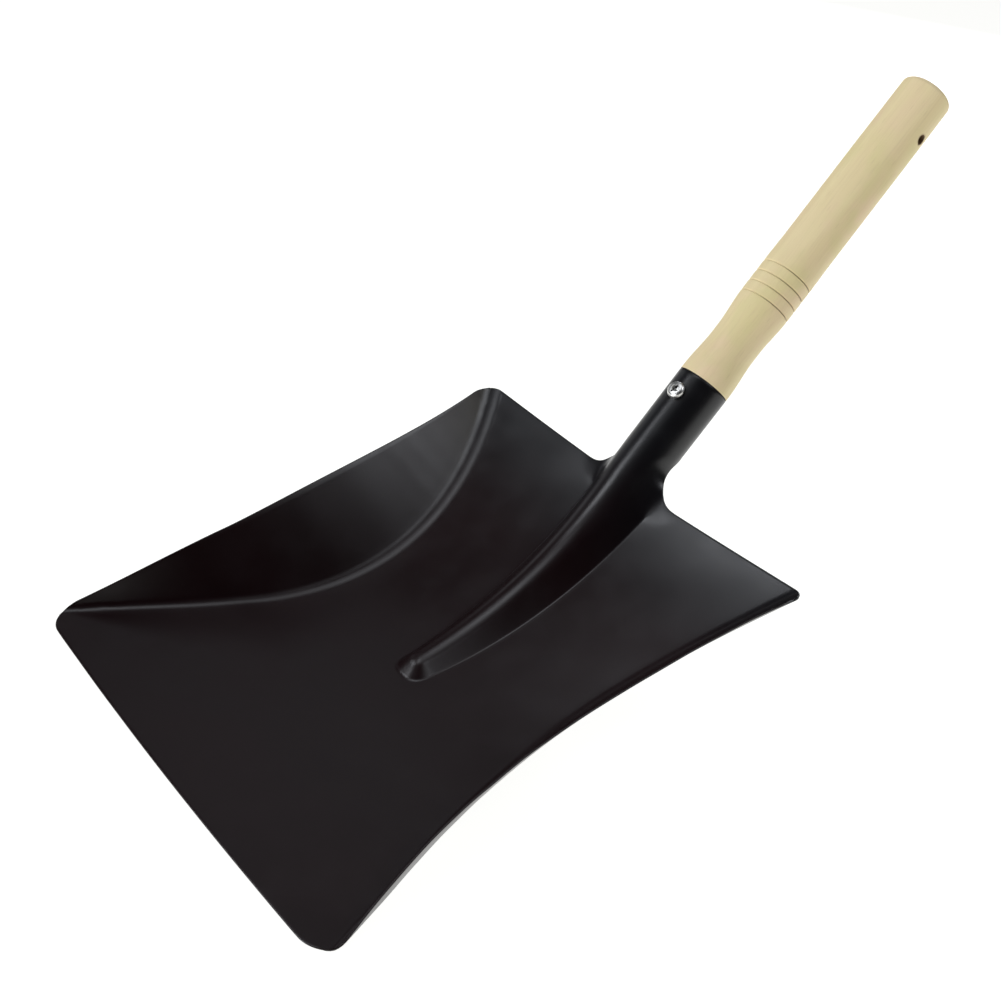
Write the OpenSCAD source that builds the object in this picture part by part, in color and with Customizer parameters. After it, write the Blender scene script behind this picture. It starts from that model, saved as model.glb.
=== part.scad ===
// Grain scoop shovel. One pressed steel blade (pan, rib and rolled socket in one sheet), a turned wooden
// handle and one fixing screw. Units are millimetres. X runs across the pan, +Y from the front lip to the
// handle, +Z up. The origin is on the underside of the flat front floor, on the centre line.

/* [Pan] */
// Width of the unfolded sheet at the front lip
front_w = 263.7; // [200:0.1:320]
// Width of the unfolded sheet at the back edge
back_w = 251.7; // [190:0.1:300]
// How far each side edge bows outward midway
side_bow = 6.3; // [0:0.1:12]
// Length of the pan along its floor
pan_len = 290.2; // [200:0.1:350]
// Length of the flat front floor
flat_len = 92.7; // [60:0.1:140]
// Angle the floor has risen to at the back edge
rise_angle = 48.1; // [20:0.1:60]
// How far the front lip bows forward at its middle
lip_bow = 2.9; // [0:0.1:8]
// How far the back edge dips forward at its middle
back_bow = 3.5; // [0:0.1:6]
// Radius of the front corners
front_r = 16; // [4:0.5:24]
// Radius of the back corners
back_r = 11; // [3:0.5:20]
// Thickness of the sheet
sheet_t = 0.9; // [0.6:0.1:1.6]

/* [Side folds] */
// Where the fold starts: half-width, then distance behind the lip
fold_start = [132.8, 4.1]; // [0:0.1:400]
// Front pull of the fold's curve
fold_front = [99.3, 89.1]; // [0:0.1:400]
// Back pull of the fold's curve
fold_back = [39.3, 159.8]; // [0:0.1:400]
// Where the fold ends at the back edge: half-width
fold_end = 120.9; // [90:0.1:150]
// Fold angles of the side wall, from the front corner to the back corner
fold_angles = [80.7, 60.8, 51.6, 45.8, 63.9]; // [0:0.1:90]
// Bend radius of the fold at the front
bend_r_front = 4; // [2:0.5:20]
// Bend radius of the fold at the back
bend_r_back = 13; // [2:0.5:20]

/* [Rib] */
// Distance from the lip to the front of the rib's crest
rib_start = 139.8; // [110:0.1:180]
// Length of the blunt tip that slopes down in front of the crest
tip_len = 12.4; // [4:0.1:20]
// Squareness of the tip seen from above: 2 is round
tip_square = 2.7; // [2:0.1:5]
// Half-width of the rib: tip, middle pull, back edge
rib_w = [10.1, 17.3, 20.6]; // [5:0.1:30]
// Height of the rib: tip, back edge
rib_h = [6.5, 17.6]; // [3:0.1:25]
// Crest radius of the rib: tip, back edge
rib_r = [8, 14.45]; // [4:0.05:18]
// Radius of the small fillet along the rib's feet
foot_r = 2; // [1:0.1:5]

/* [Socket] */
// Distance from the back edge to the socket's mouth
socket_len = 60.9; // [40:0.1:90]
// Outer radius of the socket at its mouth
mouth_r = 14.7; // [10:0.05:20]
// Distance over which the tongue rolls up into a closed tube
roll_len = 39.7; // [20:0.1:55]
// Distance behind the back edge where the tongue is narrowest
throat_at = 10.9; // [4:0.1:20]
// Gap at the seam under the socket
seam_gap = 1.4; // [0.5:0.1:4]
// Radius in the corners between the back edge and the socket
neck_r = 11; // [6:0.5:12]
// Distance from the centre line at which that corner would run straight back
neck_x = 19.3; // [18:0.1:22]
// How far the sheet rises at that corner, beside the foot of the rib
neck_lift = 1.6; // [0:0.1:4]
// How far the tongue's edges flare behind the back edge: outward, upward, then over what distance
neck_flare = [1.7, 3.6, 9.5]; // [0:0.1:15]

/* [Handle] */
// Length of wood outside the socket
handle_len = 196.3; // [120:0.1:300]
// Radius of the waist
waist_r = 13.35; // [10:0.05:16]
// Distance from the socket's mouth to the waist
waist_at = 26.5; // [15:0.5:50]
// Radius of the band that carries the grooves
band_r = 14.65; // [11:0.05:18]
// Radius of the plain grip
grip_r = 14.4; // [11:0.05:18]
// Radius just before the rounded end
end_r = 14.25; // [10:0.05:18]
// Rounding of the end
end_round = 4; // [1:0.5:12]
// Distance from the socket's mouth to the first groove
groove_at = 52.5; // [40:0.5:80]
// Spacing of the grooves
groove_step = 6.4; // [3:0.1:12]
// Depth of each groove
groove_d = 0.5; // [0.2:0.05:1.5]
// Length of the tenon inside the socket
tenon_len = 46; // [25:1:60]
// Diameter of the hanging hole
hang_d = 5; // [3:0.1:10]
// Distance from the hanging hole to the handle's end
hang_from_end = 27.5; // [15:0.5:60]
// Turn of the hanging hole about the handle, from square across the pan
hang_turn = 6; // [0:1:90]

/* [Fixing screw] */
// Distance from the socket's mouth to the screw
screw_from_mouth = 12.3; // [6:0.1:25]
// Diameter of the pan head
head_d = 9.5; // [6:0.1:14]
// Height of the pan head
head_h = 3; // [2:0.1:5]
// Diameter of the shank
shank_d = 4.7; // [3:0.1:6]
// Length of the shank below the head
shank_len = 19; // [10:0.5:30]

/* [Hidden] */
$fn = 64;
lip_y = -50;                                   // the lip's corners in the frame
fit_gap = 0.06;                                // between the tenon and the socket wall
sweep_r = (pan_len - flat_len) * 180 / (PI * rise_angle);
axis_h = rib_h[1] - rib_r[1];                  // socket axis above the sheet at the back edge

// ---- small helpers ----
function ease(q) = let (c = clamp(q, 0, 1)) c * c * (3 - 2 * c);
function mix(a, b, q) = a + (b - a) * q;
function clamp(x, a, b) = min(max(x, a), b);
function curve3(a, b, c, q) = (1 - q) * (1 - q) * a + 2 * q * (1 - q) * b + q * q * c;
function curve4(p, q) = pow(1 - q, 3) * p[0] + 3 * pow(1 - q, 2) * q * p[1]
    + 3 * (1 - q) * q * q * p[2] + pow(q, 3) * p[3];
function curve5(p, q) = pow(1 - q, 4) * p[0] + 4 * pow(1 - q, 3) * q * p[1]
    + 6 * pow(1 - q, 2) * q * q * p[2] + 4 * (1 - q) * pow(q, 3) * p[3] + pow(q, 4) * p[4];

// ---- floor line: distance s along the sheet, from the lip ----
function slope(s) = rise_angle * clamp((s - flat_len) / (pan_len - flat_len), 0, 1);
function floor_y(s) = s < flat_len ? s
    : flat_len + sweep_r * sin(slope(s)) + max(s - pan_len, 0) * cos(rise_angle);
function floor_z(s) = s < flat_len ? 0
    : sweep_r * (1 - cos(slope(s))) + max(s - pan_len, 0) * sin(rise_angle);
// a point x across and h above the sheet's upper face, at distance s
function at(s, x, h) = [x, lip_y + floor_y(s) - h * sin(slope(s)), sheet_t + floor_z(s) + h * cos(slope(s))];

// ---- side fold ----
function half_w(s) = let (q = clamp(s / pan_len, 0, 1)) mix(front_w, back_w, q) / 2 + 4 * side_bow * q * (1 - q);
fold_x = [fold_start[0], fold_front[0], fold_back[0], fold_end];
fold_s = [fold_start[1], fold_front[1], fold_back[1], pan_len];
function fold_q(s, a = 0, b = 1, n = 22) = n == 0 ? (a + b) / 2
    : let (m = (a + b) / 2) curve4(fold_s, m) < s ? fold_q(s, m, b, n - 1) : fold_q(s, a, m, n - 1);
function fold_at(s) = s < fold_start[1]
    ? fold_start[0] + (fold_start[1] - s) * (fold_start[0] - fold_front[0]) / (fold_front[1] - fold_start[1])
    : curve4(fold_x, fold_q(s));
function fold_angle(s) = curve5(fold_angles, clamp(s / pan_len, 0, 1));
function bend_r(s) = mix(bend_r_front, bend_r_back, clamp(s / pan_len, 0, 1));
function bend_t(s) = bend_r(s) * tan(fold_angle(s) / 2);
// [x, height] of the sheet at distance v from the centre line, measured along floor and wall
function folded(s, v) = let (c = fold_at(s), a = fold_angle(s), t = bend_t(s), r = bend_r(s))
    v <= c - t ? [v, 0]
    : v < c + t ? let (g = a * (v - c + t) / (2 * t)) [c - t + r * sin(g), r * (1 - cos(g))]
    : [c + (v - c) * cos(a), (v - c) * sin(a)];

// ---- rib section: crest arc, straight flank, small foot fillet ----
function rib_q(s) = clamp((s - rib_start) / (pan_len - rib_start), 0, 1);
function rib_half(s) = curve3(rib_w[0], rib_w[1], rib_w[2], rib_q(s));
function crest_r(s) = mix(rib_r[0], rib_r[1], rib_q(s));
function crest_c(s) = mix(rib_h[0], rib_h[1], rib_q(s)) - crest_r(s);
function flank_a(w, r, c) = 90 - (atan2(-c, w) + acos(r / norm([w, c])));
function flank_at(s) = flank_a(rib_half(s), crest_r(s), crest_c(s));
function foot_t(s) = foot_r * tan(flank_at(s) / 2);
// height of the rib at distance x from its centre line
function rib_height(s, x) = let (w = rib_half(s), r = crest_r(s), c = crest_c(s), a = flank_at(s), t = foot_t(s))
    x < r * sin(a) ? c + sqrt(r * r - x * x)
    : x < w - t * cos(a) ? (w - x) * tan(a)
    : x < w + t ? foot_r - sqrt(max(foot_r * foot_r - pow(w + t - x, 2), 0)) : 0;

// ---- columns: crest, flank, foot, floor, bend, wall ----
n_crest = 7;
n_flank = 3;
n_foot = 3;
n_floor = 7;
n_bend = 5;
n_wall = 4;
n_rib = n_crest + n_flank + n_foot;
n_col = n_rib + n_floor + n_bend + n_wall;

// distance of rib column k from the centre line
function rib_x(s, k) = let (w = rib_half(s), r = crest_r(s), a = flank_at(s), t = foot_t(s),
        xa = r * sin(a), xf = w - t * cos(a))
    k <= n_crest ? r * sin(a * k / n_crest)
    : k <= n_crest + n_flank ? mix(xa, xf, (k - n_crest) / n_flank)
    : w + t - foot_r * sin(a * (n_rib - k) / n_foot);

// half-width of the sheet, with its round corners
function edge_v(s) = half_w(s)
    - (s < front_r ? front_r - sqrt(front_r * front_r - pow(front_r - s, 2)) : 0)
    - (s > pan_len - back_r ? back_r - sqrt(max(back_r * back_r - pow(back_r - pan_len + s, 2), 0)) : 0);

// distance v of column k, measured along floor and wall
function col_v(s, k) = let (e = edge_v(s), x0 = rib_x(max(s, rib_start), n_rib),
        b0 = min(fold_at(s) - bend_t(s), e - 9), b1 = min(max(fold_at(s) + bend_t(s), b0 + 3), e - 3))
    k <= n_rib ? rib_x(max(s, rib_start), k)
    : k <= n_rib + n_floor ? x0 + (b0 - x0) * pow((k - n_rib) / n_floor, s > pan_len - 30 ? 1.7 : 1)
    : k <= n_rib + n_floor + n_bend ? mix(b0, b1, (k - n_rib - n_floor) / n_bend)
    : mix(b1, e, (k - n_rib - n_floor - n_bend) / n_wall);

// lip bow, back bow and the neck's corner radius move the rows nearest the edges along the sheet
function neck(v) = let (d = clamp(max(v, rib_x(pan_len, n_rib)) - neck_x, 0, neck_r))
    neck_r - sqrt(neck_r * neck_r - pow(neck_r - d, 2));
function shift(s, v) =
    -lip_bow * (1 - pow(v / half_w(0), 2)) * clamp(1 - s / 60, 0, 1)
    + (neck(v) - back_bow * (1 - pow(min(v / fold_end, 1), 1.4))) * pow(clamp(1 - (pan_len - s) / 40, 0, 1), 2);

// distance from the tip's middle, stretched so that one rib section serves all round the tip
function tip_dist(s, x) = let (d = (rib_start - s) * rib_half(rib_start) / tip_len)
    pow(pow(d, tip_square) + pow(x, tip_square), 1 / tip_square);

// the sheet's rise beside the foot of the rib, where the neck begins
function lift(v) = let (d = v - rib_x(pan_len, n_rib)) neck_lift * (1 - ease(d > 0 ? d / 9 : -d / 8));

function pan_point(s, k) = let (v = col_v(s, k), s2 = s + shift(s, v), up = lift(v) * ease((s2 - pan_len + 14) / 14))
    k <= n_rib && s >= rib_start - 1e-6 ? at(s2, v, rib_height(s, v) + up)
    : k <= n_rib + 1 && s > rib_start - 2 * tip_len ? at(s2, v, rib_height(rib_start, tip_dist(s, v)))
    : let (f = folded(s2, v)) at(s2, f[0], f[1] + up);

// ---- tongue behind the back edge, rolling into the socket ----
function tube_r(b) = mix(rib_r[1], mouth_r, clamp(b / socket_len, 0, 1));
flank_0 = flank_at(pan_len);
function arc_a(b) = b < throat_at ? mix(flank_0, 82, b / throat_at)
    : min(mix(82, 180, (b - throat_at) / (roll_len - throat_at)), 180);
len_0 = PI * rib_r[1] * flank_0 / 180 + sqrt(pow(rib_half(pan_len), 2) + axis_h * axis_h - pow(rib_r[1], 2));
throat_len = PI * rib_r[1] * acos(-axis_h / rib_r[1]) / 180;
function tongue_len(b) = b < throat_at ? mix(len_0, throat_len, ease(b / throat_at))
    : mix(throat_len, PI * tube_r(b) - seam_gap / 2, ease((b - throat_at) / (roll_len - throat_at)));
// share of the tongue's width at column k
function share(k) = k <= n_crest ? (PI * rib_r[1] * flank_0 / 180) / len_0 * k / n_crest
    : mix((PI * rib_r[1] * flank_0 / 180) / len_0, 1, (k - n_crest) / (n_rib - n_crest));
function tongue_point(b, k) = let (r = tube_r(b), l = tongue_len(b) * share(k), a = min(l / r * 180 / PI, arc_a(b)),
        e = l - a * PI * r / 180, f = sin(180 * min(b / neck_flare[2], 1)) * pow(share(k), 4),
        x0 = rib_x(pan_len, k), h0 = rib_height(pan_len, x0) + lift(x0), q = ease((b - 1.1) / 4.5))
    at(pan_len + b, mix(x0, r * sin(a) + e * cos(a) + neck_flare[0] * f, q),
        mix(h0, axis_h + r * cos(a) - e * sin(a) + neck_flare[1] * f, q));

// ---- rows ----
tip = [for (k = [n_rib, n_rib - 2, n_rib - 3, n_crest + 1, n_crest, 5, 3])
    rib_start - rib_x(rib_start, k) * tip_len / rib_half(rib_start)];
pan_rows = concat(
    [for (g = [0 : 15 : 90]) front_r * (1 - cos(g))], [28, 46, 64, 80, flat_len, 105, 117], tip,
    [for (s = [rib_start : 12.4 : pan_len - 24]) s], [pan_len - 17],
    [for (g = [90, 70, 50, 30, 15, 0]) pan_len - back_r * (1 - cos(g))]);
tongue_rows = [2.5, 4, 6, 8, 10.5, 13.5, 17, 21, 25, 29, 33, 36.5, 40, 50, socket_len];
n_pan = len(pan_rows);
n_row = n_pan + len(tongue_rows);
n_all = 2 * n_col + 1;

// upper face, one list per row, columns from -n_col to +n_col
function mirror_x(p, side) = [p[0] * side, p[1], p[2]];
upper = concat(
    [for (s = pan_rows) let (h = [for (k = [0 : n_col]) pan_point(s, k)])
        [for (k = [-n_col : n_col]) mirror_x(h[abs(k)], k < 0 ? -1 : 1)]],
    [for (b = tongue_rows) let (h = [for (k = [0 : n_rib]) tongue_point(b, k)])
        [for (k = [-n_col : n_col]) mirror_x(h[min(abs(k), n_rib)], k < 0 ? -1 : 1)]]);
first = n_col - n_rib;                         // first and last column of the tongue
last = n_col + n_rib;

function face_normal(i, j) = let (
        j0 = i >= n_pan ? max(j - 1, first) : max(j - 1, 0),
        j1 = i >= n_pan ? min(j + 1, last) : min(j + 1, n_all - 1),
        i1 = i == n_pan - 1 && (j < first || j > last) ? i : min(i + 1, n_row - 1),
        c = cross(upper[i][j1] - upper[i][j0], upper[i1][j] - upper[max(i - 1, 0)][j]))
    c / norm(c);
lower = [for (i = [0 : n_row - 1]) [for (j = [0 : n_all - 1])
    i >= n_pan && (j < first || j > last) ? upper[i][j] : upper[i][j] - sheet_t * face_normal(i, j)]];

// point numbers: the pan's rows are full, the tongue's rows hold only the rib's columns
n_tongue = 2 * n_rib + 1;
n_face = n_pan * n_all + len(tongue_rows) * n_tongue;
function id(i, j) = i < n_pan ? i * n_all + j : n_pan * n_all + (i - n_pan) * n_tongue + j - first;
function points_of(g) = concat([for (i = [0 : n_pan - 1]) each g[i]],
    [for (i = [n_pan : n_row - 1]) for (j = [first : last]) g[i][j]]);
function wall(a, b) = [[a, b, b + n_face], [a, b + n_face, a + n_face]];
cells = [for (i = [0 : n_row - 2]) for (j = [0 : n_all - 2])
    if (i < n_pan - 1 || (j >= first && j < last)) [id(i, j), id(i, j + 1), id(i + 1, j + 1), id(i + 1, j)]];
// each cell is cut along its shorter diagonal
all_points = concat(points_of(upper), points_of(lower));
function cut(c) = norm(all_points[c[0]] - all_points[c[2]]) <= norm(all_points[c[1]] - all_points[c[3]])
    ? [[c[0], c[1], c[2]], [c[0], c[2], c[3]]] : [[c[0], c[1], c[3]], [c[1], c[2], c[3]]];
function below(t) = [t[0] + n_face, t[2] + n_face, t[1] + n_face];

sheet_faces = concat(
    [for (c = cells) for (t = cut(c)) [t[2], t[1], t[0]]],
    [for (c = cells) for (t = cut(c)) let (u = [t[2], t[1], t[0]]) below(u)],
    [for (j = [0 : n_all - 2]) each wall(id(0, j), id(0, j + 1))],
    [for (j = [0 : n_all - 2]) if (j < first || j >= last) each wall(id(n_pan - 1, j + 1), id(n_pan - 1, j))],
    [for (j = [first : last - 1]) each wall(id(n_row - 1, j + 1), id(n_row - 1, j))],
    [for (i = [0 : n_pan - 2]) each wall(id(i + 1, 0), id(i, 0))],
    [for (i = [0 : n_pan - 2]) each wall(id(i, n_all - 1), id(i + 1, n_all - 1))],
    [for (i = [n_pan - 1 : n_row - 2]) each wall(id(i + 1, first), id(i, first))],
    [for (i = [n_pan - 1 : n_row - 2]) each wall(id(i, last), id(i + 1, last))]);

// ---- socket axis: local Z runs along it, from the back edge to the handle's end ----
module on_axis(b) translate(at(pan_len + b, 0, axis_h)) rotate([rise_angle - 90, 0, 0]) children();
// local Z points out of the socket's top
module on_top(b) translate(at(pan_len + b, 0, axis_h)) rotate([rise_angle, 0, 0]) children();
screw_b = socket_len - screw_from_mouth;

module blade() color("#1c1c20") difference() {
    polyhedron(all_points, sheet_faces, convexity = 10);
    on_top(screw_b) translate([0, 0, tube_r(screw_b) - 5]) cylinder(h = 10, d = shank_d + 0.3);
}

// radius of the wood at distance z from the socket's mouth
function swell(a, b, q) = mix(a, b, (1 - cos(180 * clamp(q, 0, 1))) / 2);
function wood_r(z) = z < waist_at ? swell(mouth_r, waist_r, (z - 2) / (waist_at - 2))
    : z < 30 ? waist_r
    : z < 53 ? swell(waist_r, band_r, (z - 30) / 23)
    : z < 72 ? band_r
    : z < 92 ? swell(band_r, grip_r, (z - 72) / 20)
    : z < 152 ? grip_r : mix(grip_r, end_r, (z - 152) / (handle_len - end_round - 152));
// one groove is a shallow V with a flat floor
function groove(z) = [[wood_r(z), z - 0.55], [wood_r(z) - groove_d, z - 0.15], [wood_r(z) - groove_d, z + 0.15],
    [wood_r(z), z + 0.55]];
dome_h = 1.9;
face_r = end_r - end_round * (1 - cos(70));
wood_end = concat(
    [for (g = [0 : 14 : 70]) [end_r - end_round * (1 - cos(g)),
        handle_len - dome_h - end_round * 0.9 * (sin(70) - sin(g))]],
    [for (q = [0.8, 0.6, 0.4, 0.2, 0]) [face_r * q, handle_len - dome_h * q * q]]);
wood_body = concat([for (z = [0 : 2 : 50]) [wood_r(z), z]],
    [for (n = [0 : 3]) each groove(groove_at + n * groove_step)],
    [for (z = [74 : 3 : 92]) [wood_r(z), z]], [[grip_r, 152]]);
tenon = [[0, -tenon_len], [tube_r(socket_len - tenon_len) - sheet_t - 2, -tenon_len],
    [tube_r(socket_len - tenon_len) - sheet_t - fit_gap, -tenon_len + 2], [mouth_r - sheet_t - fit_gap, 0.1]];

module handle() color("#d8c090") difference() {
    on_axis(socket_len) rotate_extrude($fn = 96)
        polygon(concat(tenon, [for (p = wood_body) p[1] < 0.1 ? [p[0], 0.1] : p], wood_end));
    on_axis(socket_len + handle_len - hang_from_end) rotate([0, 90, hang_turn])
        cylinder(h = 40, d = hang_d, center = true);
    on_top(screw_b) translate([0, 0, tube_r(screw_b) - shank_len - 1.5]) cylinder(h = shank_len, d = shank_d + 0.1);
}

module fixing_screw() color("#c8c8c4") on_top(screw_b) translate([0, 0, tube_r(screw_b) + 0.02]) {
    difference() {
        rotate_extrude() polygon([[0, -shank_len], [shank_d / 2, -shank_len + 4], [shank_d / 2, 0], [head_d / 2, 0],
            [head_d / 2, head_h * 0.3], [head_d * 0.47, head_h * 0.6], [head_d * 0.4, head_h * 0.83],
            [head_d * 0.28, head_h * 0.96], [0, head_h]]);
        for (a = [0, 90]) rotate([0, 0, a]) translate([-2.4, -0.5, head_h - 1.8]) cube([4.8, 1, 3]);
    }
}

blade();
handle();
fixing_screw();
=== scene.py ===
"""Grain scoop shovel: the looks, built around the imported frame. Shapes are worked out in millimetres."""

import math
from types import SimpleNamespace

import bpy
import numpy as np
from mathutils import Matrix, Vector


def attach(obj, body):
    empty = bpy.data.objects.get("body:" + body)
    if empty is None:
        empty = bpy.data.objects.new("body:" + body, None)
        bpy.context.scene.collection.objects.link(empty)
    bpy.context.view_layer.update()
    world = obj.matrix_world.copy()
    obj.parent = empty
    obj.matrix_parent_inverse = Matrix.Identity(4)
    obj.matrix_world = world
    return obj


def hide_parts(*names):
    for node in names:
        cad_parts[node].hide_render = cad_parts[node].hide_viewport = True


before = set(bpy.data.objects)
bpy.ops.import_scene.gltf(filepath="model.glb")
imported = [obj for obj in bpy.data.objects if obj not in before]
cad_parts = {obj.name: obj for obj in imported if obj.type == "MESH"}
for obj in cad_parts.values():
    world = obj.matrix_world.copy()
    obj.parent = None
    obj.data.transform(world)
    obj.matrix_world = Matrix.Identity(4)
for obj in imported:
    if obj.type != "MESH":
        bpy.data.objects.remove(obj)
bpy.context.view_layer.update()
rad = math.radians

# ---- sizes in mm and radians, as in the CAD source ----
P = SimpleNamespace(
    # the pan: widths at the lip and the back edge, bows of its edges, lengths along the sheet, corner radii
    front_w=263.7, back_w=251.7, side_bow=6.3, lip_bow=2.9, back_bow=3.5, pan_len=290.2, flat_len=92.7,
    rise=rad(48.1), front_r=16.0, back_r=11.0, sheet_t=0.9, lip_y=-50.0,
    # the side walls: control points (x, s) of the bend line, fold angles along it, bend radius at both ends
    fold=np.array([[132.8, 4.1], [99.3, 89.1], [39.3, 159.8], [120.9, 290.2]]),
    fold_angles=[rad(a) for a in (80.7, 60.8, 51.6, 45.8, 63.9)], bend=(4.0, 13.0),
    # the rib: where its crest starts, its tip, half-widths, heights and crest radii along it, foot fillet
    rib_start=139.8, tip_len=12.4, tip_square=2.7, rib_w=(10.1, 17.3, 20.6), rib_h=(6.5, 17.6),
    rib_r=(8.0, 14.45), foot_r=2.0,
    # the socket and the neck; neck_flare is how far out, how far up and over what length
    socket_len=60.9, mouth_r=14.7, roll_len=39.7, throat_at=10.9, seam_gap=1.4, neck_r=11.0, neck_x=19.3,
    neck_b=1.1, neck_lift=1.6, neck_flare=(1.7, 3.0, 9.5),
    # fairing round the neck's corners: full within, fading over, smoothing length of the edge, rounds
    fair_within=10.0, fair_fade=10.0, fair_edge=3.2, fair_rounds=90,
    # the handle
    handle_len=196.3, tenon_len=46.0, fit_gap=0.06, waist_r=13.35, waist_at=26.5, band_r=14.65, grip_r=14.4,
    end_r=14.25, end_round=4.0, dome_h=1.9, grooves=4, groove_at=52.5, groove_step=6.4, groove_d=0.5,
    hang_d=5.0, hang_from_end=27.5, hang_turn=rad(6),
    # the screw
    screw_from_mouth=12.3, head_d=9.5, head_h=3.0, shank_d=4.7, shank_len=19.0, pitch=1.55, thread_d=0.62)
SWEEP_R = (P.pan_len - P.flat_len) / P.rise
AXIS_H = P.rib_h[1] - P.rib_r[1]
HOLE_AXIS = (math.cos(P.hang_turn), math.sin(P.hang_turn) * math.sin(P.rise),
             -math.sin(P.hang_turn) * math.cos(P.rise))
SCREW_B = P.socket_len - P.screw_from_mouth         # from the back edge to the screw
HOLE_B = P.socket_len + P.handle_len - P.hang_from_end
FULL_TURN = 2 * np.pi


# ---- helpers ----
def mix(a, b, q):
    return a + (b - a) * q


def ease(q):
    """0 to 1 with level ends."""
    q = np.clip(q, 0, 1)
    return q * q * (3 - 2 * q)


def swell(a, b, q):
    """From a to b along half a cosine wave."""
    return mix(a, b, (1 - np.cos(np.pi * np.clip(q, 0, 1))) / 2)


def unit(v):
    return v / np.maximum(np.linalg.norm(v, axis=-1, keepdims=True), 1e-12)


# ---- the sheet: distance s along the floor, x across, h above its upper face ----
def slope(s):
    """Slope of the floor."""
    return P.rise * np.clip((s - P.flat_len) / (P.pan_len - P.flat_len), 0, 1)


def at(s, x, h):
    """The point in space at s, x, h."""
    s, x, h = np.broadcast_arrays(np.asarray(s, float), x, h)
    a, over = slope(s), np.maximum(s - P.pan_len, 0)
    y = np.where(s < P.flat_len, s, P.flat_len + SWEEP_R * np.sin(a) + over * math.cos(P.rise))
    z = np.where(s < P.flat_len, 0, SWEEP_R * (1 - np.cos(a)) + over * math.sin(P.rise))
    return np.stack([x, P.lip_y + y - h * np.sin(a), P.sheet_t + z + h * np.cos(a)], -1)


def half_w(s):
    """Half the width of the flat sheet."""
    q = np.clip(s / P.pan_len, 0, 1)
    return mix(P.front_w, P.back_w, q) / 2 + 4 * P.side_bow * q * (1 - q)


_q = np.linspace(0, 1, 2001)[:, None]
FOLD_LINE = ((1 - _q) ** 3 * P.fold[0] + 3 * (1 - _q) ** 2 * _q * P.fold[1]
             + 3 * (1 - _q) * _q ** 2 * P.fold[2] + _q ** 3 * P.fold[3])


def fold_at(s):
    (x0, s0), (x1, s1) = P.fold[0], P.fold[1]
    return np.where(s < s0, x0 + (s0 - s) * (x0 - x1) / (s1 - s0),
                    np.interp(s, FOLD_LINE[:, 1], FOLD_LINE[:, 0]))


def fold_angle(s):
    q, a = np.clip(s / P.pan_len, 0, 1), P.fold_angles
    return sum(math.comb(4, i) * (1 - q) ** (4 - i) * q ** i * a[i] for i in range(5))


def bend_r(s):
    return mix(P.bend[0], P.bend[1], np.clip(s / P.pan_len, 0, 1))


def bend_t(s):
    return bend_r(s) * np.tan(fold_angle(s) / 2)


def folded(s, v):
    """x and h of the point that lies v from the centre line on the flat sheet."""
    c, a, t, r = fold_at(s), fold_angle(s), bend_t(s), bend_r(s)
    g = a * (v - c + t) / (2 * t)
    x = np.where(v <= c - t, v, np.where(v < c + t, c - t + r * np.sin(g), c + (v - c) * np.cos(a)))
    h = np.where(v <= c - t, 0, np.where(v < c + t, r * (1 - np.cos(g)), (v - c) * np.sin(a)))
    return x, h


# ---- the rib's section: crest arc, straight flank, foot fillet ----
def rib_section(s):
    """Half-width, crest radius, height of its centre, flank angle and the fillet's reach."""
    q = np.clip((s - P.rib_start) / (P.pan_len - P.rib_start), 0, 1)
    w = (1 - q) ** 2 * P.rib_w[0] + 2 * q * (1 - q) * P.rib_w[1] + q * q * P.rib_w[2]
    r = mix(P.rib_r[0], P.rib_r[1], q)
    c = mix(P.rib_h[0], P.rib_h[1], q) - r
    a = np.pi / 2 - (np.arctan2(-c, w) + np.arccos(np.clip(r / np.hypot(w, c), -1, 1)))
    return w, r, c, a, P.foot_r * np.tan(a / 2)


def neck_lift(v):
    """How far the sheet rises beside the rib's foot at the back edge, where the neck begins."""
    d = v - rib_x(np.array(P.pan_len), np.array(float(RIB)))
    return P.neck_lift * (1 - ease(np.where(d > 0, d / 9, -d / 8)))


def rib_height(s, x):
    w, r, c, a, t = rib_section(s)
    foot = P.foot_r - np.sqrt(np.maximum(P.foot_r ** 2 - (w + t - x) ** 2, 0))
    return np.where(x < r * np.sin(a), c + np.sqrt(np.maximum(r * r - x * x, 0)),
                    np.where(x < w - t * np.cos(a), (w - x) * np.tan(a), np.where(x < w + t, foot, 0)))


CREST, FLANK, FOOT, FLOOR, BEND, WALL = 12, 7, 6, 26, 12, 14
RIB = CREST + FLANK + FOOT
COLS = RIB + FLOOR + BEND + WALL


def rib_x(s, k):
    """x of column k on the rib."""
    w, r, _, a, t = rib_section(s)
    return np.where(k <= CREST, r * np.sin(a * np.minimum(k / CREST, 1)),
                    np.where(k <= CREST + FLANK, mix(r * np.sin(a), w - t * np.cos(a), (k - CREST) / FLANK),
                             w + t - P.foot_r * np.sin(a * (RIB - k) / FOOT)))


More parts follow.
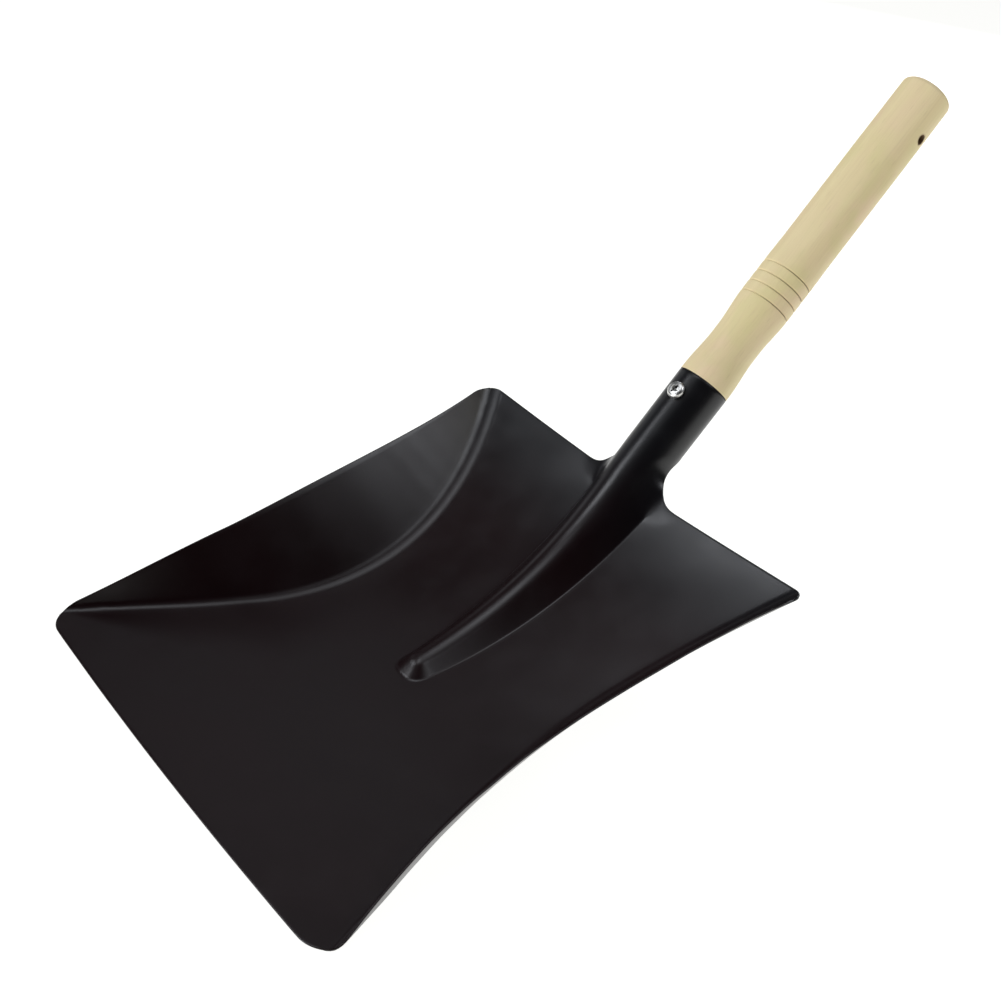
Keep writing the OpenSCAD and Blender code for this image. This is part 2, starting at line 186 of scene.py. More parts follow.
def pan_grid(rows):
    """Points of the pan's upper face from the centre line to the right edge."""
    s, k = np.asarray(rows, float)[:, None], np.arange(COLS + 1.0)[None, :]
    e, on_rib = half_w(s), np.maximum(s, P.rib_start)
    x0 = rib_x(on_rib, np.full_like(s, RIB))
    b0 = np.minimum(fold_at(s) - bend_t(s), e - 14)
    b1 = np.minimum(np.maximum(fold_at(s) + bend_t(s), b0 + 7), e - 7)
    power = 1 + 0.7 * ease((s - P.pan_len + 60) / 50)
    v = np.where(k <= RIB, rib_x(on_rib, k),
                 np.where(k <= RIB + FLOOR, x0 + (b0 - x0) * np.maximum((k - RIB) / FLOOR, 0) ** power,
                          np.where(k <= RIB + FLOOR + BEND, mix(b0, b1, (k - RIB - FLOOR) / BEND),
                                   mix(b1, e, (k - RIB - FLOOR - BEND) / WALL))))
    # round the corners: the square patch at each corner is pressed into a quarter disc
    s = s + 0 * v
    for r, sign, start in ((P.front_r, -1, P.front_r), (P.back_r, 1, P.pan_len - P.back_r)):
        a, b = np.clip(sign * (s - start) / r, 0, 1), np.clip((v - e + r) / r, 0, 1)
        s = np.where((a > 0) & (b > 0), start + sign * r * a * np.sqrt(1 - b * b / 2), s)
        v = np.where((a > 0) & (b > 0), e - r + r * b * np.sqrt(1 - a * a / 2), v)
    # lip bow, back bow and the neck's corners move the nearest rows along the sheet
    d = np.clip(np.maximum(v, rib_x(np.array(P.pan_len), np.array(float(RIB)))) - P.neck_x, 0, P.neck_r)
    neck = P.neck_r - np.sqrt(P.neck_r ** 2 - (P.neck_r - d) ** 2)
    s2 = (s - P.lip_bow * (1 - (v / half_w(0.0)) ** 2) * np.clip(1 - s / 60, 0, 1)
          + (neck - P.back_bow * (1 - np.minimum(v / P.fold[3][0], 1) ** 1.4))
          * np.clip(1 - (P.pan_len - s) / 40, 0, 1) ** 2)
    x, h = folded(s2, v)
    lift = neck_lift(v) * ease((s2 - P.pan_len + 14) / 14)
    ahead = np.maximum((P.rib_start - s) * P.rib_w[0] / P.tip_len, 0)
    from_tip = (ahead ** P.tip_square + v ** P.tip_square) ** (1 / P.tip_square)
    rib = np.where(s >= P.rib_start - 1e-6, rib_height(s, v), rib_height(P.rib_start, from_tip))
    near = (k <= RIB + 1) & (s > P.rib_start - 2 * P.tip_len)
    return at(s2, np.where(near, v, x), np.where(near, rib, h) + lift)


def tube_r(b):
    return mix(P.rib_r[1], P.mouth_r, np.clip(b / P.socket_len, 0, 1))


def tongue_grid(rows):
    """The same for the tongue behind the back edge, which rolls into the socket."""
    b, k = np.asarray(rows, float)[:, None], np.arange(RIB + 1.0)[None, :]
    r0, a0 = P.rib_r[1], float(rib_section(P.pan_len)[3])
    len0 = r0 * a0 + math.sqrt(P.rib_w[2] ** 2 + AXIS_H ** 2 - r0 ** 2)
    throat = r0 * math.acos(-AXIS_H / r0)
    share = np.where(k <= CREST, r0 * a0 / len0 * k / CREST,
                     mix(r0 * a0 / len0, 1, (k - CREST) / (RIB - CREST)))
    r, q = tube_r(b), (b - P.throat_at) / (P.roll_len - P.throat_at)
    throat_arc = rad(82)
    arc = np.where(b < P.throat_at, mix(a0, throat_arc, b / P.throat_at),
                   np.minimum(mix(throat_arc, np.pi, q), np.pi))
    width = np.where(b < P.throat_at, mix(len0, throat, ease(b / P.throat_at)),
                     mix(throat, np.pi * r - P.seam_gap / 2, ease(q)))
    a = np.minimum(width * share / r, arc)
    e = width * share - a * r
    out, up, over = P.neck_flare
    f = np.sin(np.pi * np.clip(b / over, 0, 1)) * share ** 4
    x, h = r * np.sin(a) + e * np.cos(a) + out * f, AXIS_H + r * np.cos(a) - e * np.sin(a) + up * f
    # just behind the back edge the section is still the rib's
    x0 = rib_x(np.array(P.pan_len), k)
    q = ease((b - P.neck_b) / 4.5)
    return at(P.pan_len + b, mix(x0, x, q), mix(rib_height(P.pan_len, x0) + neck_lift(x0), h, q))


def mirrored(half):
    left = half[:, :0:-1].copy()
    left[..., 0] *= -1
    return np.concatenate([left, half], 1)


def make(name, points, faces, slot, smooth=True):
    """A mesh object from points in millimetres."""
    mesh = bpy.data.meshes.new(name)
    mesh.from_pydata([tuple(p) for p in np.asarray(points) * 0.001], [],
                     [tuple(int(i) for i in f) for f in faces])
    mesh.validate()
    if smooth:
        mesh.shade_smooth()
    o = bpy.data.objects.new(name, mesh)
    bpy.context.scene.collection.objects.link(o)
    if slot:
        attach(o, "root")
    return o


def uneven(p):
    """Small hand-scale dents and waves of the pressed sheet, in mm along its normal."""
    x, y, z = p.T
    wave = (0.05 * np.sin(0.105 * y + 0.06 * x + 0.9) * np.sin(0.083 * x - 0.03 * y)
            + 0.03 * np.sin(0.21 * y - 0.12 * x + 2.0))
    # dents: centre, spread and depth
    dents = sum(d * np.exp(-(((x - a) / w) ** 2 + ((y - b) / t) ** 2) / 2) for (a, b), (w, t), d in (
        ((72, 172), (15, 11), -0.2), ((92, 200), (13, 14), 0.16), ((-30, 60), (30, 22), 0.08),
        ((58, 96), (26, 17), -0.1), ((-48, 205), (18, 15), 0.13)))
    # ripples on the left wall's back half
    streak = 0.028 * np.sin(0.42 * y + 0.3 * z) * ease((y - 120) / 40) * ease((-82 - x) / 12)
    calm = np.clip(np.abs(x) / 26, 0, 1) ** 4 * ease((228 - y) / 20)      # none on the rib and the socket
    clear_of_floor = 0.1 * ease((75 - y) / 25)
    return (wave + dents + streak) * calm + clear_of_floor


def fair_neck(full, row, first, last):
    """Even out the sheet, in place, around the two inner corners where the tongue leaves the back edge."""
    for col, step in ((first, -1), (last, 1)):
        corner = full[row, col].copy()
        # the free edge: in along the back edge, round the corner and on along the tongue
        k = [(row, col + step * i) for i in range(14, 0, -1)] + [(row + i, col) for i in range(0, 26)]
        rows, cols = np.array(k).T
        line = full[rows, cols]
        gap = np.linalg.norm(np.diff(line, axis=0), axis=1)
        t = np.concatenate([[0], np.cumsum(gap)])
        near = 1 - ease((np.linalg.norm(line - corner, axis=1) - P.fair_within) / P.fair_fade)
        weight = np.exp(-((t[:, None] - t[None]) / P.fair_edge) ** 2 / 2) * np.gradient(t)[None]
        even = weight @ line / weight.sum(1, keepdims=True)
        full[rows, cols] = line + (even - line) * near[:, None]
    # less far into the pan, so that the line at the rib's foot stays crisp
    far = np.where(np.arange(len(full)) < row, 1.25, 1.0)[:, None]
    for _ in range(P.fair_rounds):
        mid = np.full_like(full, np.nan)
        mid[1:-1, 1:-1] = (full[:-2, 1:-1] + full[2:, 1:-1] + full[1:-1, :-2] + full[1:-1, 2:]) / 4
        mid[row, [first, last]] = np.nan
        for col in (first, last):
            apart = np.linalg.norm(full - full[row, col], axis=-1) * far
            near = 1 - ease((apart - P.fair_within) / P.fair_fade)
            near = np.where(np.isnan(mid[..., 0]) | np.isnan(near), 0, near)[..., None]
            full += np.where(near > 0, (mid - full) * near * 0.5, 0)


def blade_sheet():
    """The pan, rib and socket: one sheet with a rounded edge."""
    # rows of points, close together at the corners, the rib's tip and the neck
    pan_rows = np.concatenate([
        [0, 1.6, 3.3, 5.2, 7.2, 9.4, 11.7, 14], np.arange(P.front_r, 120, 3.6), np.arange(120.5, 139.5, 0.6),
        np.arange(141, P.pan_len - P.back_r - 2, 3.0),
        P.pan_len - np.array([11, 9.5, 8, 6.6, 5.2, 3.9, 2.6, 1.3, 0])])
    tongue_rows = np.concatenate([
        np.arange(P.neck_b + 0.7, 14, 0.8), np.arange(14.5, P.socket_len - 1, 1.4), [P.socket_len]])
    pan, tongue = mirrored(pan_grid(pan_rows)), mirrored(tongue_grid(tongue_rows))
    n_pan, n_ton, wide = len(pan), len(tongue), pan.shape[1]
    first, last = COLS - RIB, COLS + RIB

    full = np.full((n_pan + n_ton, wide, 3), np.nan)
    full[:n_pan] = pan
    full[n_pan:, first:last + 1] = tongue
    fair_neck(full, n_pan - 1, first, last)

    def diff(axis):
        """From the point before to the point after; at an edge, one of them is the point itself."""
        ahead, behind = np.full_like(full, np.nan), np.full_like(full, np.nan)
        if axis == 0:
            ahead[:-1], behind[1:] = full[1:], full[:-1]
        else:
            ahead[:, :-1], behind[:, 1:] = full[:, 1:], full[:, :-1]
        ahead, behind = np.where(np.isnan(ahead), full, ahead), np.where(np.isnan(behind), full, behind)
        return ahead - behind

    normal = unit(np.cross(diff(1), diff(0)))
    ids = np.full(full.shape[:2], -1)
    real = ~np.isnan(full[..., 0])
    ids[real] = np.arange(real.sum())
    up, nor = full[real], normal[real]
    up = up + uneven(up)[:, None] * nor
    low = up - P.sheet_t * nor
    n = len(up)
    cell = np.stack([ids[:-1, :-1], ids[:-1, 1:], ids[1:, 1:], ids[1:, :-1]], -1).reshape(-1, 4)
    cell = cell[(cell >= 0).all(1)]
    # the free edge as one loop, counter-clockwise seen from above
    back = n_pan - 1
    loop = np.concatenate([
        ids[0, :], ids[1:n_pan, -1], ids[back, last:-1][::-1], ids[n_pan:, last], ids[-1, first:last][::-1],
        ids[n_pan:-1, first][::-1], ids[back, :first + 1][::-1], ids[1:back, 0][::-1]])
    _, keep = np.unique(loop, return_index=True)
    loop = loop[np.sort(keep)]
    rim, rim_n = up[loop], nor[loop]
    along = unit(np.roll(rim, -1, 0) - np.roll(rim, 1, 0))
    out = unit(np.cross(along, rim_n))
    r, flat = P.sheet_t / 2, 0.9
    centre = rim - r * rim_n - r * out * flat
    rings = [centre + r * (rim_n * math.sin(rad(g)) + flat * out * math.cos(rad(g)))
             for g in (90, 55, 25, 0, -25, -55, -90)]
    up[loop], low[loop] = rings[0], rings[-1]
    points = np.concatenate([up, low] + rings[1:-1])
    m = len(loop)
    level = [loop] + [2 * n + i * m + np.arange(m) for i in range(len(rings) - 2)] + [n + loop]
    faces = [*cell, *(cell[:, ::-1] + n)]
    for a, b in zip(level[:-1], level[1:]):
        faces += [(a[i], b[i], b[(i + 1) % m], a[(i + 1) % m]) for i in range(m)]
    return make("blade_sheet", points, faces, "black_powder_coat")


def lathe(rings, n):
    """Points and faces of a closed turned solid from rings of n points; the two end rings are single points."""
    points = np.concatenate([rings[0][:1], *rings[1:-1], rings[-1][:1]])
    faces, m, i = [], len(rings) - 2, np.arange(n)
    j = (i + 1) % n
    faces += [(0, 1 + a, 1 + b) for a, b in zip(j, i)]
    for row in range(m - 1):
        base = 1 + row * n
        faces += [(base + a, base + b, base + n + b, base + n + a) for a, b in zip(i, j)]
    end = 1 + m * n
    faces += [(end, end - n + a, end - n + b) for a, b in zip(i, j)]
    return points, faces


def on_axis(b, x, h):
    """A point at distance b behind the back edge, x across and h above the socket's axis."""
    return at(P.pan_len + b, x, AXIS_H + h)


def cut(o, cutter):
    """o minus cutter, with the result kept as o's mesh."""
    m = o.modifiers.new("cut", "BOOLEAN")
    m.operation, m.object, m.solver = "DIFFERENCE", cutter, "EXACT"
    done = bpy.data.meshes.new_from_object(o.evaluated_get(bpy.context.evaluated_depsgraph_get()))
    o.modifiers.clear()
    done.name = o.name
    o.data = done
    bpy.data.objects.remove(cutter)


def rod(radius_at, p0, p1, side, n=64):
    """A turned cutter from p0 to p1 (mm points); radius_at lists (share of length, radius)."""
    p0, p1 = np.asarray(p0, float), np.asarray(p1, float)
    axis = unit(p1 - p0)
    u = np.asarray(side, float)
    w = np.cross(axis, u)
    g = np.linspace(0, 2 * np.pi, n, endpoint=False)[:, None]
    rings = [mix(p0, p1, q) + r * (np.cos(g) * u + np.sin(g) * w) for q, r in radius_at]
    points, faces = lathe([p0[None] + 0 * g, *rings, p1[None] + 0 * g], n)
    return make("cutter", points, faces, None)


def wood_r(z):
    """Radius of the wood at z from the socket's mouth, without the grooves."""
    z = np.asarray(z, float)
    return np.select(
        [z < P.waist_at, z < 30, z < 53, z < 72, z < 92, z < 152],
        [swell(P.mouth_r, P.waist_r, (z - 2) / (P.waist_at - 2)), P.waist_r + 0 * z,
         swell(P.waist_r, P.band_r, (z - 30) / 23), P.band_r + 0 * z,
         swell(P.band_r, P.grip_r, (z - 72) / 20), P.grip_r + 0 * z],
        mix(P.grip_r, P.end_r, (z - 152) / (P.handle_len - P.end_round - 152)))


def handle_wood():
    """The turned handle: tenon, shoulder, grooves, domed end, hanging hole and the screw's pilot hole."""
    n, groove_w = 160, 0.42
    z = [np.arange(0, 52, 1.0), np.arange(75, P.handle_len - P.end_round - 2, 2.0)]
    for i in range(P.grooves):
        z.append(P.groove_at + i * P.groove_step + np.linspace(-0.9, 0.9, 13))
        z.append(P.groove_at + i * P.groove_step + np.linspace(1.6, P.groove_step - 1.6, 4))
    z = np.unique(np.concatenate(z))
    r = wood_r(z)
    for i in range(P.grooves):
        r = r - P.groove_d * np.exp(-np.abs((z - P.groove_at - i * P.groove_step) / groove_w) ** 2.2)
    arc = rad(70)                                               # how far the end's rounding turns
    face_r = P.end_r - P.end_round * (1 - math.cos(arc))
    end = [(P.end_r - P.end_round * (1 - math.cos(a)),
            P.handle_len - P.dome_h - P.end_round * 0.9 * (math.sin(arc) - math.sin(a)))
           for a in np.radians(np.arange(0, 70, 5.0))]
    end += [(face_r * q, P.handle_len - P.dome_h * q * q) for q in np.linspace(1, 0.06, 12)]
    inner = float(tube_r(P.socket_len - P.tenon_len)) - P.sheet_t
    tenon = [(inner - 2, -P.tenon_len), (inner - 1.2, -P.tenon_len + 0.35), (inner - 0.4, -P.tenon_len + 1.1),
             (inner - P.fit_gap, -P.tenon_len + 2), (P.mouth_r - P.sheet_t - P.fit_gap, 0.02)]
    tenon = tenon[:4] + [
        (mix(tenon[3][0], tenon[4][0], q), mix(tenon[3][1], tenon[4][1], q)) for q in np.linspace(0.1, 1, 12)]
    # the shoulder is rounded over, so that a dark line shows round the socket's mouth
    soft = 0.75
    shoulder = [(P.mouth_r - soft + soft * math.sin(a), soft * (1 - math.cos(a)) + 0.03)
                for a in np.radians([20, 40, 60, 80])]
    profile = tenon + shoulder + [(float(a), float(b)) for a, b in zip(r, z) if b > 0.9] + end
    turn = np.linspace(0, FULL_TURN, n, endpoint=False)
    rings = [on_axis(P.socket_len - P.tenon_len, 0 * turn, 0 * turn)]
    rings += [on_axis(P.socket_len + b, a * np.sin(turn), a * np.cos(turn)) for a, b in profile]
    rings += [on_axis(P.socket_len + P.handle_len, 0 * turn, 0 * turn)]
    points, faces = lathe(rings, n)
    o = make("handle_wood", points, faces, "turned_wood")
    # the hanging hole, with a slight chamfer at both mouths
    hole = on_axis(HOLE_B, 0.0, 0.0)
    reach, h = 20.0, P.hang_d / 2
    edge = float(wood_r(P.handle_len - P.hang_from_end))
    ends = [(0.0001, h + 4), ((reach - edge - 0.02) / 2 / reach, h + 0.3),
            ((reach - edge + 0.35) / 2 / reach, h)]
    cone = ends + [(1 - q, r) for q, r in reversed(ends)]
    out = np.array(HOLE_AXIS)
    cut(o, rod(cone, hole - reach * out, hole + reach * out, (0, math.cos(P.rise), math.sin(P.rise))))
    # the pilot hole
    top = on_axis(SCREW_B, 0.0, float(tube_r(SCREW_B)) + 2)
    deep = on_axis(SCREW_B, 0.0, float(tube_r(SCREW_B)) - P.shank_len - 1.4)
    cut(o, rod([(0.0001, P.shank_d / 2 + 0.05), (0.9999, P.shank_d / 2 + 0.05)], top, deep, (1, 0, 0), 32))
    return o


def fixing_screw():
    """The pan-head screw with its thread and cross recess."""
    n, seat = 96, float(tube_r(SCREW_B)) + 0.02
    turn = np.linspace(0, FULL_TURN, n, endpoint=False)

    def ring(r, z):
        return on_axis(SCREW_B + r * np.cos(turn), r * np.sin(turn), seat + z + 0 * turn)

    rings = [ring(0 * turn, -P.shank_len)]
    root = P.shank_d / 2 - P.thread_d
    for z in np.arange(-P.shank_len + 0.1, -0.9, 0.13):
        crest = P.shank_d / 2 * np.clip((z + P.shank_len) / 4, 0.08, 1)
        phase = np.abs(((z / P.pitch - turn / FULL_TURN) % 1) - 0.5) * 2
        thread = np.clip(1 - phase / 0.42, 0, 1) * ease((-0.9 - z) / 1.2)
        rings.append(ring(mix(root * crest / (P.shank_d / 2), crest, thread), z))
    hr, hh = P.head_d / 2, P.head_h
    head = [(root, -0.6), (root, -0.02), (hr - 0.25, 0.0), (hr - 0.06, 0.07), (hr, 0.25), (hr, hh * 0.3)]
    head += [(hr * (1 - 0.62 * q ** 2.1), hh * (0.3 + 0.66 * math.sin(q * math.pi / 2) ** 0.9))
             for q in np.linspace(0.08, 1, 14)]
    head += [(hr * 0.38 * (1 - q), hh * (0.96 + 0.04 * math.sin(q * math.pi / 2))) for q in (0.35, 0.7, 0.93)]
    rings += [ring(r + 0 * turn, z) for r, z in head]
    rings.append(ring(0 * turn, hh))
    points, faces = lathe(rings, n)
    o = make("screw_steel", points, faces, "plated_steel")

    def slot(angle):
        """A tapered slot across the head: height, half length and half width at its top and bottom."""
        pts = []
        for z, half, w in ((hh + 0.6, 2.75, 0.66), (hh - 1.9, 1.15, 0.36)):
            for x, y in ((-half, -w), (half, -w), (half, w), (-half, w)):
                pts.append(on_axis(SCREW_B + x * math.cos(angle) - y * math.sin(angle),
                                   x * math.sin(angle) + y * math.cos(angle), seat + z))
        sides = [(0, 1, 5, 4), (1, 2, 6, 5), (2, 3, 7, 6), (3, 0, 4, 7)]
        return make("cutter", pts, [(3, 2, 1, 0), (4, 5, 6, 7), *sides], None, False)

    # cross recess: two slots and a cone at the middle
    for angle in (rad(20), rad(110)):
        cut(o, slot(angle))
    p0, p1 = on_axis(SCREW_B, 0.0, seat + hh + 0.5), on_axis(SCREW_B, 0.0, seat + hh - 2.2)
    cut(o, rod([(0.0001, 1.75), (0.9, 0.75), (0.9999, 0.1)], p0, p1, (1, 0, 0), 24))
    return o


# ---- materials ----
class Nodes:
    """Short calls for building a node tree."""

    def __init__(self, name):
        self.material = bpy.data.materials.new(name)
        self.material.use_nodes = True
        self.tree = self.material.node_tree
        self.shader = self.tree.nodes["Principled BSDF"]
        self.place = self.add("ShaderNodeTexCoord").outputs["Object"]

    def add(self, kind, **values):
        node = self.tree.nodes.new(kind)
        for key, value in values.items():
            setattr(node, key, value)
        return node

    def link(self, source, target):
        if hasattr(source, "links"):
            self.tree.links.new(source, target)
        else:
            target.default_value = source

    def moved(self, turn=(0, 0, 0), size=(1, 1, 1), shift=(0, 0, 0), source=None):
        node = self.add("ShaderNodeMapping")
        node.inputs["Rotation"].default_value, node.inputs["Scale"].default_value = turn, size
        node.inputs["Location"].default_value = shift
        self.link(source or self.place, node.inputs["Vector"])
        return node.outputs["Vector"]

    def noise(self, scale, detail=2.0, rough=0.5, source=None, warp=0.0):
        node = self.add("ShaderNodeTexNoise")
        for key, value in (("Scale", scale), ("Detail", detail), ("Roughness", rough), ("Distortion", warp)):
            node.inputs[key].default_value = value
        self.link(source or self.place, node.inputs["Vector"])
        return node.outputs["Fac"]

    def ramp(self, source, low, high, a=0.0, b=1.0):
        node = self.add("ShaderNodeMapRange", interpolation_type="SMOOTHSTEP")
        for key, value in (("From Min", low), ("From Max", high), ("To Min", a), ("To Max", b)):
            node.inputs[key].default_value = value
        self.link(source, node.inputs["Value"])
        return node.outputs["Result"]

    def math(self, kind, a, b):
        node = self.add("ShaderNodeMath", operation=kind)
        self.link(a, node.inputs[0])
        self.link(b, node.inputs[1])
        return node.outputs[0]

    def colour(self, share, a, b):
        node = self.add("ShaderNodeMix", data_type="RGBA")
        self.link(share, node.inputs["Factor"])
        for end, value in ((6, a), (7, b)):
            self.link(value if hasattr(value, "links") else (*value, 1), node.inputs[end])
        return node.outputs[2]

    def bump(self, height, distance, strength=1.0, under=None):
        node = self.add("ShaderNodeBump")
        node.inputs["Distance"].default_value, node.inputs["Strength"].default_value = distance, strength
        self.link(height, node.inputs["Height"])
        if under is not None:
            self.link(under, node.inputs["Normal"])
        return node.outputs["Normal"]

    def cells(self, scale, source=None):
        node = self.add("ShaderNodeTexVoronoi")
        node.inputs["Scale"].default_value = scale
        self.link(source or self.place, node.inputs["Vector"])
        return node.outputs["Distance"], node.outputs["Color"]

    def from_line(self, point, axis):
        """Distance from a line, and how far along it, in metres; point in mm."""
        start = self.moved(shift=tuple(-np.asarray(point, float) * 0.001))
        out = []
        for kind in ("CROSS_PRODUCT", "DOT_PRODUCT"):
            node = self.add("ShaderNodeVectorMath", operation=kind)
            self.link(start, node.inputs[0])
            node.inputs[1].default_value = tuple(float(a) for a in axis)
            out.append(node)
        span = self.add("ShaderNodeVectorMath", operation="LENGTH")
        self.link(out[0].outputs["Vector"], span.inputs[0])
        return span.outputs["Value"], out[1].outputs["Value"]

    def set(self, **values):
        for key, value in values.items():
            self.link(value, self.shader.inputs[key.replace("_", " ")])


def powder_coat():
    """Glossy black coat: faint orange peel, cloudy gloss, a reddish black base and a few specks of dust."""
    m = Nodes("black_powder_coat")
    cloud, smear = m.noise(14, 3, 0.55), m.noise(60, 2, 0.5, warp=0.2)
    base = m.colour(m.ramp(cloud, 0.3, 0.7), (0.0068, 0.0016, 0.0021), (0.0084, 0.0020, 0.0026))
    apart = m.add("ShaderNodeSeparateXYZ")
    m.link(m.place, apart.inputs[0])
    on_socket = m.ramp(apart.outputs[1], 0.16, 0.225)
    base = m.colour(on_socket, base, (0.0026, 0.0022, 0.0032))  # slightly bluer there
    # dust: one small pale speck in some of the cells
    near, tint = m.cells(62)
    pick = m.add("ShaderNodeSeparateColor")
    m.link(tint, pick.inputs[0])
    speck = m.math("MULTIPLY", m.ramp(near, 0.012, 0.03, 1, 0), m.ramp(pick.outputs[0], 0.86, 0.9))
    base = m.colour(m.math("MULTIPLY", speck, 0.5), base, (0.2, 0.2, 0.2))
    gloss = m.math("ADD", m.ramp(cloud, 0.25, 0.75, 0.28, 0.32), m.ramp(smear, 0.35, 0.75, 0, 0.04))
    peel = m.bump(m.noise(420, 2, 0.5), 0.00003, 0.5)
    m.set(Base_Color=base, Roughness=m.math("ADD", gloss, m.math("MULTIPLY", speck, 0.3)), Normal=peel)
    m.shader.inputs["IOR"].default_value = 1.5
    return m.material


def wood():
    """Pale turned beech: faint rings and fibres along the handle, short rays, burnt grooves, open end grain."""
    m = Nodes("turned_wood")
    mouth = on_axis(P.socket_len, 0.0, 0.0) * 0.001
    start = m.moved(shift=tuple(-mouth))
    along = m.moved(turn=(math.pi / 2 - P.rise, 0, 0), source=start)      # local Z runs along the handle
    apart = m.add("ShaderNodeSeparateXYZ")
    m.link(along, apart.inputs[0])
    x, y, z = apart.outputs
    figure = m.noise(70, 3, 0.5, m.moved(size=(1, 1, 0.06), source=along), 0.7)
    fibre = m.noise(1100, 2, 0.6, m.moved(size=(1, 1, 0.035), source=along))
    blotch = m.noise(45, 3, 0.55, m.moved(size=(1, 1, 0.45), source=along))
    near, _ = m.cells(420, m.moved(size=(1, 1, 0.16), source=along))
    ray = m.ramp(near, 0.05, 0.2, 0.16, 0)
    green = m.noise(62, 2, 0.5, m.moved(shift=(0.3, 0.7, 0.1), size=(1, 1, 0.6), source=along))
    base = m.colour(m.ramp(figure, 0.3, 0.72), (0.92, 0.775, 0.45), (0.85, 0.69, 0.385))
    base = m.colour(m.ramp(blotch, 0.42, 0.7, 0, 0.65), base, (0.90, 0.675, 0.445))
    base = m.colour(m.ramp(green, 0.46, 0.72, 0, 0.6), base, (0.78, 0.69, 0.33))
    base = m.colour(m.ramp(fibre, 0.45, 0.8, 0, 0.22), base, (0.66, 0.50, 0.27))
    base = m.colour(ray, base, (0.56, 0.40, 0.21))
    # the four grooves are scorched brown, and they darken further towards the handle's right side, which lies
    # in shade, as painted shade
    step = P.groove_step / 1000
    turns = m.math("DIVIDE", m.math("SUBTRACT", z, P.groove_at / 1000), step)
    off = m.math("ABSOLUTE", m.math("SUBTRACT", turns, m.math("ROUND", turns, 0.0)), 0.0)
    inside = m.math("MULTIPLY", m.ramp(z, P.groove_at / 1000 - step * 0.4, P.groove_at / 1000 - step * 0.3),
                    m.ramp(z, P.groove_at / 1000 + step * 3.3, P.groove_at / 1000 + step * 3.4, 1, 0))
    # painted shade: this ramp makes the groove lines darker on the right, shaded side of the handle
    side = m.ramp(m.math("ADD", x, m.math("MULTIPLY", y, 0.35)), -0.008, 0.009, 0.1, 1)
    burn_and_shade = m.math("MULTIPLY", m.math("MULTIPLY", m.ramp(off, 0.02, 0.07, 1, 0), inside), side)
    base = m.colour(m.math("MULTIPLY", burn_and_shade, 0.75), base, (0.19, 0.11, 0.045))
    # painted shade: the hanging hole is painted dark inside, and the wood turns browner towards its mouths
    off, _ = m.from_line(on_axis(HOLE_B, 0.0, 0.0), HOLE_AXIS)
    r = P.hang_d / 2000
    base = m.colour(m.ramp(off, r + 0.0002, r + 0.0014, 0.45, 0), base, (0.30, 0.17, 0.07))
    base = m.colour(m.ramp(off, r + 0.0001, r + 0.0004, 0.92, 0), base, (0.15, 0.085, 0.04))
    # painted shade: a line of black on the shoulder at the socket's mouth, standing for the shadow in the gap
    # between wood and socket
    base = m.colour(m.ramp(z, 0.00035, 0.00055, 1, 0), base, (0.012, 0.01, 0.01))
    m.set(Base_Color=base, Roughness=m.ramp(fibre, 0.3, 0.7, 0.5, 0.62), Normal=m.bump(fibre, 0.00006, 0.5))
    return m.material


def steel():
    """Bright plated steel, slightly cloudy."""
    m = Nodes("plated_steel")
    cloud = m.noise(700, 3, 0.6)
    base = m.colour(m.ramp(cloud, 0.3, 0.7), (0.82, 0.81, 0.78), (0.68, 0.67, 0.65))
    # painted shade in the cross recess, and a painted contact shadow at the rim's foot
    off, height = m.from_line(on_axis(SCREW_B, 0.0, float(tube_r(SCREW_B)) + 0.02),
                              (0, -math.sin(P.rise), math.cos(P.rise)))
    top = P.head_h / 1000
    recess = m.math("MULTIPLY", m.ramp(off, 0.0024, 0.003, 1, 0),
                    m.ramp(height, top - 0.0005, top - 0.00025, 1, 0))
    base = m.colour(m.math("MULTIPLY", recess, 0.8), base, (0.10, 0.10, 0.095))
    base = m.colour(m.ramp(height, 0.0001, 0.0005, 0.8, 0), base, (0.08, 0.08, 0.075))
    m.set(Base_Color=base,
          Roughness=m.ramp(cloud, 0.3, 0.7, 0.26, 0.38), Normal=m.bump(m.noise(5000, 2), 0.00001, 0.5))
    m.shader.inputs["Metallic"].default_value = 1.0
    return m.material


def pale_floor():
    """A pale matt floor with a soft glow of its own, as on a light table."""
    m = Nodes("pale_floor")
    grain = m.noise(30, 3, 0.5)
    m.set(Base_Color=m.colour(m.ramp(grain, 0.3, 0.7), (0.29, 0.295, 0.28), (0.31, 0.315, 0.3)), Roughness=0.9)
    m.shader.inputs["Specular IOR Level"].default_value = 0.1
    m.shader.inputs["Emission Color"].default_value = (1, 1, 0.98, 1)
    m.shader.inputs["Emission Strength"].default_value = 0.94
    return m.material


# ---- pieces ----
blade, handle, screw = blade_sheet(), handle_wood(), fixing_screw()
for piece, node, material in ((blade, "blade", powder_coat()), (handle, "handle", wood()),
                              (screw, "fixing_screw", steel())):
    piece.data.materials.clear()
    piece.data.materials.append(material)
    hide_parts(node)
for piece, angle in ((handle, 28), (screw, 32)):
    piece.data.shade_smooth()
    piece.data.set_sharp_from_angle(angle=rad(angle))

# ---- stage ----
size = 6.0                                                      # half the floor's width, in m
mesh = bpy.data.meshes.new("floor")
mesh.from_pydata([(-size, -size, 0), (size, -size, 0), (size, size, 0), (-size, size, 0)], [], [(0, 1, 2, 3)])
floor = bpy.data.objects.new("floor", mesh)
bpy.context.scene.collection.objects.link(floor)
mesh.materials.append(pale_floor())


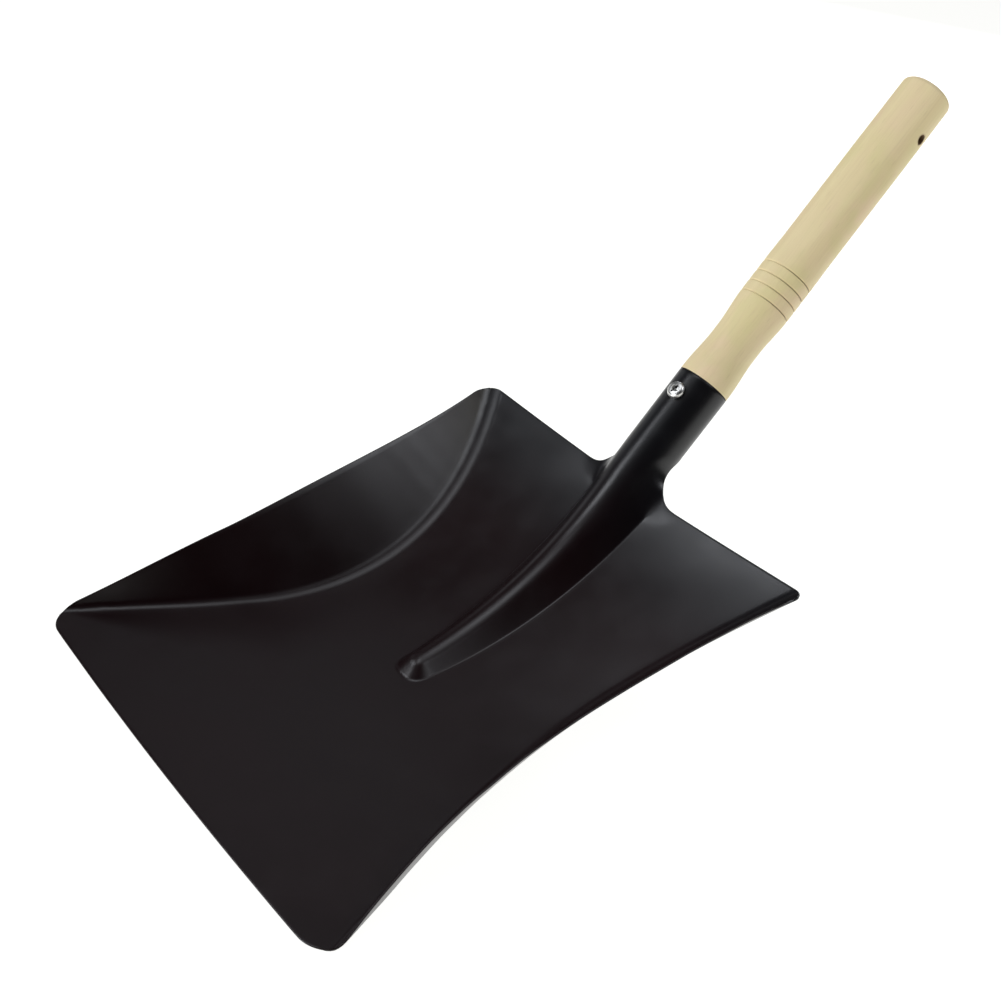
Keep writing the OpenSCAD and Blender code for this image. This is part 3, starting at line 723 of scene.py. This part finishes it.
def softbox(name, height, bearing, wide, tall, glow):
    """A soft panel. Angles in degrees: height above the floor, bearing from +X, half width, half height."""
    far = 2                                                     # m from the middle of the pan
    data = bpy.data.lights.new(name, "AREA")
    data.shape = "RECTANGLE"
    data.size, data.size_y = 2 * far * math.tan(rad(wide)), 2 * far * math.tan(rad(tall))
    data.energy, data.color = math.pi * glow * data.size * data.size_y, (0.965, 1.0, 1.06)
    o = bpy.data.objects.new(name, data)
    flat = math.cos(rad(height))
    out = Vector((flat * math.cos(rad(bearing)), flat * math.sin(rad(bearing)), math.sin(rad(height))))
    o.location = Vector((0, 0.08, 0.06)) + far * out
    o.rotation_euler = (-out).to_track_quat("-Z", "Y").to_euler()
    bpy.context.scene.collection.objects.link(o)


for panel in (
        ("overhead", 90, 0, 13, 13, 1.15),
        ("over_left", 70, 180, 11, 11, 1.02),
        ("over_lip", 70, 240, 11, 11, 2.23),
        ("right_edge", 50, 20, 12, 12, 0.62),
        ("back_right", 50, 45, 12, 12, 3.96),
        ("front_high", 38, 230, 7.5, 7.5, 6.9),
        ("front_low", 8, 260, 7.5, 7.5, 20.2),
        ("back_left_high", 40, 150, 12, 12, 0.27),
        ("left_low", 15, 180, 12, 12, 0.53),
        ("back_left_low", 15, 120, 12, 12, 5.5)):
    softbox(*panel)

# the room beyond the panels is dark, and the plain backdrop behind the floor is pale
world = bpy.data.worlds.new("studio")
bpy.context.scene.world = world
world.use_nodes = True
nodes, links = world.node_tree.nodes, world.node_tree.links
room, backdrop = nodes["Background"], nodes.new("ShaderNodeBackground")
room.inputs[0].default_value = (0.003, 0.003, 0.003, 1)
backdrop.inputs[0].default_value = (0.95, 0.95, 0.93, 1)
seen, either = nodes.new("ShaderNodeLightPath"), nodes.new("ShaderNodeMixShader")
links.new(seen.outputs["Is Camera Ray"], either.inputs[0])
links.new(room.outputs[0], either.inputs[1])
links.new(backdrop.outputs[0], either.inputs[2])
links.new(either.outputs[0], nodes["World Output"].inputs["Surface"])

# ---- camera at the photograph's viewing angle ----
# rows: the camera's right, down and forward; then where the frame's origin lies along them, in mm
CAM_R = np.array([(0.6051648, 0.7880671, 0.1128086), (0.4582883, -0.2289907, -0.8587987),
                  (-0.6509589, 0.5714136, -0.4997390)])
CAM_T = np.array([-110.298, 106.932, 670.327])
camera = bpy.data.objects.new("camera", bpy.data.cameras.new("camera"))
bpy.context.scene.collection.objects.link(camera)
bpy.context.scene.camera = camera
spin = np.stack([CAM_R[0], -CAM_R[1], -CAM_R[2]], 1)
camera.matrix_world = Matrix.Translation(Vector(-CAM_R.T @ CAM_T * 0.001)) @ Matrix(spin.tolist()).to_4x4()
camera.data.sensor_width, camera.data.lens = 36, 51.807
camera.data.clip_start, camera.data.clip_end = 0.01, 50
bpy.context.scene.view_settings.view_transform = "Standard"
